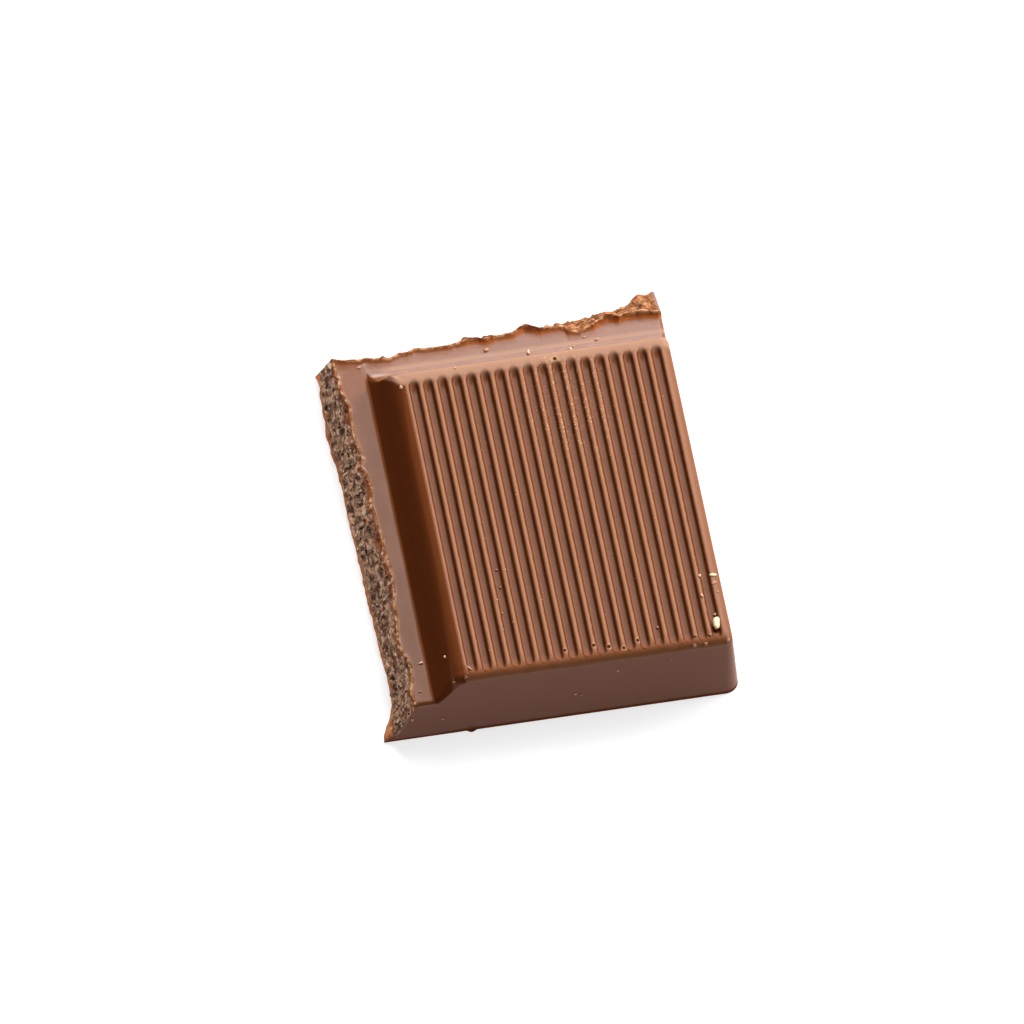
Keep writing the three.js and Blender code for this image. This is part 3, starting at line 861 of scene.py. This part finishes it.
class Shader:
    """A new material's node tree, with short ways to add its nodes."""

    def __init__(self, name):
        self.material = bpy.data.materials.new(name)
        self.material.use_nodes = True
        self.tree = self.material.node_tree
        self.tree.nodes.clear()
        self.output = self.tree.nodes.new("ShaderNodeOutputMaterial")

    def node(self, kind, settings=None, inputs=None):
        """Adds a node, sets its settings and then its sockets, and returns its outputs in use as values."""
        node = self.tree.nodes.new(kind)
        for key, value in (settings or {}).items():
            setattr(node, key, value)
        for key, value in (inputs or {}).items():
            value = getattr(value, "socket", value)
            if isinstance(value, bpy.types.NodeSocket):
                self.tree.links.new(value, node.inputs[key])
            else:
                node.inputs[key].default_value = value
        return [Value(self, socket) for socket in node.outputs if socket.enabled]

    def attribute(self, name):
        """A named point value of the mesh."""
        return self.node("ShaderNodeAttribute", {"attribute_name": name})[2]

    def place(self, stretch=(1, 1, 1), shift=(0, 0, 0)):
        """Object coordinates in millimetres, stretched and then shifted."""
        place = self.node("ShaderNodeTexCoord")[3]
        inputs = {"Vector": place, "Scale": [s / MM for s in stretch], "Location": shift}
        return self.node("ShaderNodeMapping", None, inputs)[0]

    def noise(self, scale, detail=3.0, roughness=0.5, stretch=(1, 1, 1), shift=(0, 0, 0)):
        """Noise from 0 to 1 over Object coordinates, in features per millimetre."""
        inputs = {"Vector": self.place(stretch, shift), "Scale": scale}
        inputs.update({"Detail": detail, "Roughness": roughness})
        return self.node("ShaderNodeTexNoise", None, inputs)[0]

    def cells(self, size, shift=(0, 0, 0)):
        """Random cells of a size in millimetres: the distance from a cell's middle, in cell sizes, and a random
        number from 0 to 1 for each cell."""
        inputs = {"Vector": self.place(shift=shift), "Scale": 1 / size}
        distance, colour = self.node("ShaderNodeTexVoronoi", None, inputs)[:2]
        return distance, self.node("ShaderNodeSeparateColor", None, {0: colour})[0]

    def distance_to(self, point):
        """Distance in millimetres from a point laid out from the pillow's corner."""
        inputs = {0: self.node("ShaderNodeTexCoord")[3], 1: Vector(place(np.array(point, float)))}
        return self.node("ShaderNodeVectorMath", {"operation": "DISTANCE"}, inputs)[0] / MM

    def near(self, spots, wobble=0.0):
        """1 at the given spots, each an x, y, z and radius, and 0 away from them."""
        total = Value(self, 0.0)
        for *point, radius in spots:
            away = self.distance_to(point) / radius + wobble
            total = total + 1 - away.step(0.7, 1.15)
        return total.clamp()

    def blend(self, factor, first, second, mode="MIX"):
        """A colour between first and second."""
        settings = {"data_type": "RGBA", "blend_type": mode, "clamp_factor": True}
        first, second = (c if isinstance(c, Value) else (*c, 1.0) for c in (first, second))
        return self.node("ShaderNodeMix", settings, {0: factor, 6: first, 7: second})[0]


def chocolate_material(look):
    """Moulded surfaces have a soft sheen over brown with faint clouds, with painted shade on steep walls, edges and
    creases and painted light on the raised top, its ridges and the back half groove. Broken ones are dry and grainy
    with pale specks, partly painted glints, and dark crevices of painted shade. Thin lips are tan, a painted light on
    their lit rims, and a broken face's base is redder."""
    shader = Shader("milk_chocolate")
    broken = shader.attribute("broken")
    lip = shader.attribute("lip")
    base = shader.attribute("base")
    shaded = shader.attribute("shaded")
    under = shader.attribute("under")
    worn = shader.attribute("worn")
    burr = shader.attribute("burr")
    satin = shader.attribute("satin")
    bubbly = shader.attribute("bubbly")
    golden = shader.attribute("golden")
    pale = shader.attribute("pale")
    wall = shader.attribute("wall")

    clouds = shader.noise(0.35, 3, 0.5).step(0.3, 0.7)
    moulded = shader.blend(clouds, look.moulded_light, look.moulded_dark)
    grain_edge, grain_tone = shader.cells(0.48)
    small_edge, small_tone = shader.cells(0.22, shift=(5, 3, 8))
    patches = shader.noise(1.5, 4, 0.7, shift=(2, 7, 1)).step(0.4, 0.6)
    light = (grain_tone * 0.4 + small_tone * 0.35 + patches * 0.7 - 0.2).clamp()
    # The grains' colours are partly the break's own and partly painted light, set light for the dimly lit left break.
    dry = shader.blend(light, look.broken_dark, look.broken_light)
    # Painted shade in the broken surface's crevices and pits.
    pits = shader.noise(2.4, 3, 0.6, shift=(8, 2, 6)).step(0.54, 0.64)
    crevices = (grain_edge.step(0.45, 0.68) * 0.5 + small_edge.step(0.5, 0.7) * 0.25 + pits * 0.85).clamp()
    dry = shader.blend(crevices * (1 - golden * 0.5), dry, look.crevice)
    # Pale specks: partly the break's pale grains and partly painted glints on its facets.
    specks = small_tone.step(0.84, 0.9) * (1 - small_edge.step(0.25, 0.5))
    dry = shader.blend(specks, dry, look.speck)
    # Painted shade: darker, redder patches just below the lips.
    dry = shader.blend(under * shader.noise(1.5, 2, 0.5, shift=(4, 1, 9)).step(0.35, 0.55), dry, look.under)
    dry = shader.blend(base * 0.85, dry, look.base)
    wobble = shader.noise(3.5, 3, 0.6) * 0.8 - 0.4
    # Spots: reddish ones in the colour of the painted shade below the lip, pale ones partly painted glints, painted
    # shade in deep pits, and a painted glow in thin orange chips.
    for spots, colour in (
        (RED_SPOTS, look.under),
        (PALE_SPOTS, look.speck),
        (DARK_SPOTS, look.crevice),
        (ORANGE_SPOTS, look.orange),
    ):
        dry = shader.blend(shader.near(spots, wobble) * 0.8, dry, colour)
    # Partly the back break's own orange tone and partly painted: the tint tones down the broken colours, set light for
    # the dim left break, where the back break is brightly lit.
    dry = shader.blend(golden, dry, look.golden, "MULTIPLY")
    # Painted highlight: a paler colour on the back half groove and on the streak beyond it.
    moulded = shader.blend(pale, moulded, look.pale)
    # Painted shade: the moulded walls' darker colour, making up for the table's glow on them.
    moulded = shader.blend(wall, moulded, look.wall)
    # Painted light: a lighter colour on the raised top and its ridges, weaker on the back half groove's painted
    # highlight.
    moulded = shader.blend(worn * (1 - pale * 0.8), moulded, look.worn)
    # Painted shade: the dark colour on steep groove walls, the left slope, the edges, the back crease, the walls' feet
    # and the drip.
    moulded = shader.blend(shaded, moulded, look.shaded)
    # Painted light: a brighter orange on the burr's near side, for light shining through it.
    moulded = shader.blend(burr, moulded, look.burr)
    surface = shader.blend(broken, moulded, dry)
    # Painted light: tan rims along the lips, for their highlights and for light through their thin edges.
    rim = lip * shader.noise(2.2, 4, 0.7).step(0.42, 0.62)
    surface = shader.blend(rim, surface, look.lip)

    # Painted highlights: tiny bright dots in the bubbly patch, in the lips' tan.
    bubbles = bubbly * (1 - small_edge.step(0.1, 0.5)) * small_tone.step(0.4, 0.6)
    surface = shader.blend(bubbles * 0.7, surface, look.lip)
    # Painted shade inside the pinholes and painted light on their rims.
    places = [(x, y, HEIGHT - front_fall(y), radius) for x, y, radius in PINHOLES]
    holes = shader.near(places)
    rims = shader.near([(*point, 1.8 * radius) for *point, radius in places])
    surface = shader.blend(rims * 0.3, surface, look.lip)
    surface = shader.blend(holes * 0.95, surface, look.crevice)

    fine = shader.noise(9.0, 4, 0.6)
    gloss_noise = shader.noise(1.2, 3, 0.5)
    roughness = broken * 0.35 + gloss_noise * 0.08 + satin * look.satin_roughness + pale * 0.2 + look.roughness
    rough = 1 - grain_edge * 0.8 - small_edge * 0.3
    smooth = fine * (0.08 + satin * 0.3)
    height = mix(smooth, fine * 1.2 + rough * 3.0, broken * (1 - base * 0.7)) + bubbles * 0.5
    bump = shader.node("ShaderNodeBump", None, {"Strength": 1.0, "Distance": 0.04 * MM, "Height": height})
    inputs = {"Base Color": surface, "Roughness": roughness, "Normal": bump[0], "IOR": 1.48}
    glossy = shader.node("ShaderNodeBsdfPrincipled", None, inputs)[0]
    dull_inputs = {**inputs, "Specular IOR Level": look.shaded_gloss}
    dull = shader.node("ShaderNodeBsdfPrincipled", None, dull_inputs)[0]
    dullness = shaded + broken * 0.75 + wall * look.wall_dullness + satin * look.satin_dullness + lip * 3
    dullness = (dullness + holes + burr).clamp()
    mixed = shader.node("ShaderNodeMixShader", None, {0: dullness, 1: glossy, 2: dull})[0]
    shader.tree.links.new(mixed.socket, shader.output.inputs["Surface"])
    return shader.material


def crumb_material(look):
    """Dry crumbs, each of one tone."""
    shader = Shader("crumbs")
    tone = shader.attribute("tone")
    colour = shader.blend(tone.step(0.2, 0.7), look.crumb_dark, look.crumb_tan)
    colour = shader.blend(tone.step(0.7, 1.0), colour, look.crumb_cream)
    surface = shader.node("ShaderNodeBsdfPrincipled", None, {"Base Color": colour, "Roughness": 0.6})[0]
    shader.tree.links.new(surface.socket, shader.output.inputs["Surface"])
    return shader.material


# ---------------------------------------------------------------------------------------------------
# Settings


def colour_property(name, description, default):
    """A property for a colour in linear light."""
    return FloatVectorProperty(
        name=name, description=description, default=default, subtype="COLOR", size=3, min=0, max=1
    )


def share_property(name, description, default):
    """A property for a share from 0 to 1."""
    return FloatProperty(name=name, description=description, default=default, min=0, max=1, subtype="FACTOR")


class ChocolateLook(bpy.types.PropertyGroup):
    """Colours and finish of the chocolate."""

    moulded_light: colour_property("Moulded light", "Lighter colour of the moulded surface", (0.22, 0.068, 0.021))
    moulded_dark: colour_property("Moulded dark", "Darker colour of the moulded surface", (0.19, 0.057, 0.017))
    # Painted light on the raised top and the fine ridges.
    worn: colour_property("Painted ridge light", "Colour of the raised top and the fine ridges", (0.285, 0.105, 0.04))
    satin_roughness: share_property("Satin roughness", "Added roughness of the raised top", 0.22)
    satin_dullness: share_property("Satin dullness", "How far the raised top has lost its gloss", 0.35)
    # Painted shade: darker colour of the moulded walls, against the table's glow on them.
    wall: colour_property("Moulded walls", "Colour of the front and right walls", (0.17, 0.042, 0.012))
    crumb_dark: colour_property("Dark crumbs", "Colour of the darkest crumbs", (0.22, 0.085, 0.045))
    crumb_tan: colour_property("Tan crumbs", "Colour of the middling crumbs", (0.55, 0.28, 0.16))
    crumb_cream: colour_property("Cream crumbs", "Colour of the palest crumbs", (0.92, 0.70, 0.45))
    wall_dullness: share_property("Wall dullness", "How far the moulded walls have lost their gloss", 0.35)
    # Painted light: glow of light through the thin burr's near side.
    burr: colour_property("Burr", "Colour of the thin burr's near side", (0.50, 0.15, 0.04))
    # Partly the back break's own tone and partly painted, toning down its brightly lit broken colours.
    golden: colour_property("Back break", "Tint of the broken surface at the back", (0.62, 0.44, 0.27))
    # Painted highlight on the half groove along the back.
    pale: colour_property("Back groove", "Colour of the half groove along the back", (0.40, 0.21, 0.13))
    # Partly the grains' own colour and partly painted light, set light for the dimly lit left break.
    broken_light: colour_property("Broken light", "Colour of the broken surface's light grains", (1.0, 0.60, 0.39))
    broken_dark: colour_property("Broken dark", "Colour of the broken surface's dark grains", (0.24, 0.10, 0.052))
    # Painted shade in the crevices between the broken surface's grains, in deep pits and in the pinholes.
    crevice: colour_property("Crevices", "Colour between the broken surface's grains", (0.05, 0.017, 0.007))
    # Painted shade just below the lip.
    under: colour_property("Under the lip", "Colour of the broken surface just below the lip", (0.30, 0.085, 0.033))
    # Partly the broken surface's pale grains and partly painted glints on its facets.
    speck: colour_property("Specks", "Colour of the pale grains in the broken surface", (1.0, 0.76, 0.56))
    orange: colour_property("Orange spots", "Colour of a few thin, glowing chips in the left break", (0.80, 0.22, 0.05))
    base: colour_property("Base", "Colour along the bottom of a broken surface", (0.60, 0.21, 0.07))
    # Painted light on the lips' thin edges.
    lip: colour_property("Lip", "Colour of the thin edge of the web", (0.80, 0.44, 0.24))
    roughness: FloatProperty(
        name="Roughness", description="Roughness of the moulded surface", default=0.2, min=0, max=1, subtype="FACTOR"
    )
    # Painted shade: the dark colour for the fine grooves' walls, the left slope and other shaded places.
    shaded: colour_property("Steep walls", "Colour of the fine grooves' walls and the left slope", (0.107, 0.026, 0.007))
    shaded_gloss: FloatProperty(
        name="Gloss of steep walls", description="Gloss of the grooves' walls and the left slope, where 0.5 is full",
        default=0.0, min=0, max=1, subtype="FACTOR",
    )


class ChocolateStage(bpy.types.PropertyGroup):
    """Camera and lights."""

    azimuth: FloatProperty(
        name="Azimuth", description="Camera's turn round the piece", default=math.radians(-9.85), subtype="ANGLE"
    )
    elevation: FloatProperty(
        name="Elevation", description="Camera's height above the horizon", default=math.radians(55.2), subtype="ANGLE"
    )
    lens: FloatProperty(name="Lens", description="Focal length in millimetres", default=800, min=50, max=1000)
    back_light: FloatProperty(
        name="Back light", description="Power of the soft box behind the piece", default=2.6, subtype="POWER",
        unit="POWER",
    )
    side_light: FloatProperty(
        name="Side light", description="Power of the low soft box to the right", default=3.7, subtype="POWER",
        unit="POWER",
    )
    high_light: FloatProperty(
        name="High light", description="Power of the higher soft box at the back right", default=2.1,
        subtype="POWER", unit="POWER",
    )
    left_light: FloatProperty(
        name="Left light", description="Power of the small low soft box to the left", default=0.65,
        subtype="POWER", unit="POWER",
    )
    sky: FloatProperty(name="Surroundings", description="Brightness all round", default=0.01, min=0)
    table_glow: FloatProperty(name="Table glow", description="Light given off by the table", default=0.75, min=0)


# ---------------------------------------------------------------------------------------------------
# Operators


class CHOCOLATE_OT_piece(bpy.types.Operator):
    """Make the broken piece of chocolate"""

    bl_idname = "chocolate.piece"
    bl_label = "Broken piece"

    def execute(self, context):
        points, faces, values = build_piece()
        material = chocolate_material(context.scene.chocolate_look)
        piece = add_mesh("broken_piece", points, *faces, values, material)
        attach(piece, BODY)
        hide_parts(NODE)
        return {"FINISHED"}


class CHOCOLATE_OT_crumbs(bpy.types.Operator):
    """Make the crumbs and the dust that lie on the piece"""

    bl_idname = "chocolate.crumbs"
    bl_label = "Crumbs"

    def execute(self, context):
        points, faces, values = build_crumbs()
        crumbs = add_mesh("crumbs", points, *faces, values, crumb_material(context.scene.chocolate_look))
        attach(crumbs, BODY)
        return {"FINISHED"}


# For a square picture of IMAGE_SIZE, the camera puts the pillow's front left top corner at REFERENCE_PIXEL, and a
# millimetre there covers PIXELS_PER_MM.
IMAGE_SIZE = 1024
PIXELS_PER_MM = 14.55
SENSOR = 36.0
REFERENCE_PIXEL = (464.8, 670.4)


LIGHT_DISTANCE = 0.6


def add_area(name, power, size, turn, rise):
    """A rectangular light, size (across, up) in metres, that faces the piece from an angle round from +Y towards
    +X and an angle above the table."""
    data = bpy.data.lights.new(name, "AREA")
    data.shape = "RECTANGLE"
    data.size, data.size_y = size
    data.energy = power
    way = Vector((math.sin(turn) * math.cos(rise), math.cos(turn) * math.cos(rise), math.sin(rise)))
    light = bpy.data.objects.new(name, data)
    light.location = (CAD_LOW + CAD_HIGH) / 2 + way * LIGHT_DISTANCE
    light.rotation_euler = way.to_track_quat("Z", "Y").to_euler()
    bpy.context.scene.collection.objects.link(light)


class CHOCOLATE_OT_stage(bpy.types.Operator):
    """Make the floor, the lights and the camera"""

    bl_idname = "chocolate.stage"
    bl_label = "Stage"

    def execute(self, context):
        stage = context.scene.chocolate_stage
        self.add_floor(stage)
        self.add_lights(context.scene, stage)
        self.add_camera(context.scene, stage)
        context.scene.view_settings.view_transform = "Standard"
        return {"FINISHED"}

    def add_floor(self, stage):
        shader = Shader("white_table")
        inputs = {
            "Base Color": (0.35, 0.35, 0.35, 1),
            "Roughness": 0.6,
            "Emission Color": (1, 1, 1, 1),
            "Emission Strength": stage.table_glow,
        }
        surface = shader.node("ShaderNodeBsdfPrincipled", None, inputs)
        shader.tree.links.new(surface[0].socket, shader.output.inputs["Surface"])
        half = 2.0
        corners = [(-half, -half, 0), (half, -half, 0), (half, half, 0), (-half, half, 0)]
        mesh = bpy.data.meshes.new("table")
        mesh.from_pydata(corners, [], [(0, 1, 2, 3)])
        mesh.materials.append(shader.material)
        floor = bpy.data.objects.new("table", mesh)
        floor.location.z = CAD_LOW.z
        bpy.context.scene.collection.objects.link(floor)

    def add_lights(self, scene, stage):
        for name, power, size, turn, rise in (
            ("back_light", stage.back_light, (0.17, 0.15), 13, 38),
            ("side_light", stage.side_light, (0.24, 0.16), 78, 33),
            ("high_light", stage.high_light, (0.26, 0.22), 40, 54),
            ("left_light", stage.left_light, (0.12, 0.1), -96, 14),
        ):
            add_area(name, power, size, math.radians(turn), math.radians(rise))
        world = bpy.data.worlds.new("surroundings")
        world.use_nodes = True
        world.node_tree.nodes["Background"].inputs["Color"].default_value = (1, 1, 1, 1)
        world.node_tree.nodes["Background"].inputs["Strength"].default_value = stage.sky
        scene.world = world

    def add_camera(self, scene, stage):
        turn, rise = stage.azimuth, stage.elevation
        back = Vector((math.sin(turn) * math.cos(rise), -math.cos(turn) * math.cos(rise), math.sin(rise)))
        right = Vector((math.cos(turn), math.sin(turn), 0))
        up = back.cross(right)
        reference = Vector(place(np.array([0.0, 0.0, HEIGHT])))
        off_x = (IMAGE_SIZE / 2 - REFERENCE_PIXEL[0]) / PIXELS_PER_MM
        off_y = (REFERENCE_PIXEL[1] - IMAGE_SIZE / 2) / PIXELS_PER_MM
        target = reference + (right * off_x + up * off_y) * MM
        data = bpy.data.cameras.new("camera")
        data.sensor_width = SENSOR
        data.lens = stage.lens
        distance = stage.lens / SENSOR * IMAGE_SIZE / PIXELS_PER_MM * MM
        data.clip_start, data.clip_end = distance * 0.1, distance * 10
        camera = bpy.data.objects.new("camera", data)
        camera.location = target + back * distance
        camera.rotation_euler = back.to_track_quat("Z", "Y").to_euler()
        scene.collection.objects.link(camera)
        scene.camera = camera


class CHOCOLATE_PT_panel(bpy.types.Panel):
    """Lists the steps and the settings"""

    bl_label = "Chocolate piece"
    bl_idname = "CHOCOLATE_PT_panel"
    bl_space_type = "VIEW_3D"
    bl_region_type = "UI"
    bl_category = "Chocolate"

    def draw(self, context):
        for step in STEPS:
            self.layout.operator(step.bl_idname)
        for group in (context.scene.chocolate_look, context.scene.chocolate_stage):
            box = self.layout.box()
            for key in type(group).__annotations__:
                box.prop(group, key)


STEPS = (CHOCOLATE_OT_piece, CHOCOLATE_OT_crumbs, CHOCOLATE_OT_stage)
CLASSES = (ChocolateLook, ChocolateStage, *STEPS, CHOCOLATE_PT_panel)


def register():
    for each in CLASSES:
        bpy.utils.register_class(each)
    bpy.types.Scene.chocolate_look = PointerProperty(type=ChocolateLook)
    bpy.types.Scene.chocolate_stage = PointerProperty(type=ChocolateStage)


def unregister():
    del bpy.types.Scene.chocolate_stage
    del bpy.types.Scene.chocolate_look
    for each in reversed(CLASSES):
        bpy.utils.unregister_class(each)


def main():
    register()
    bpy.ops.chocolate.piece()
    bpy.ops.chocolate.crumbs()
    bpy.ops.chocolate.stage()


if __name__ == "__main__":
    main()
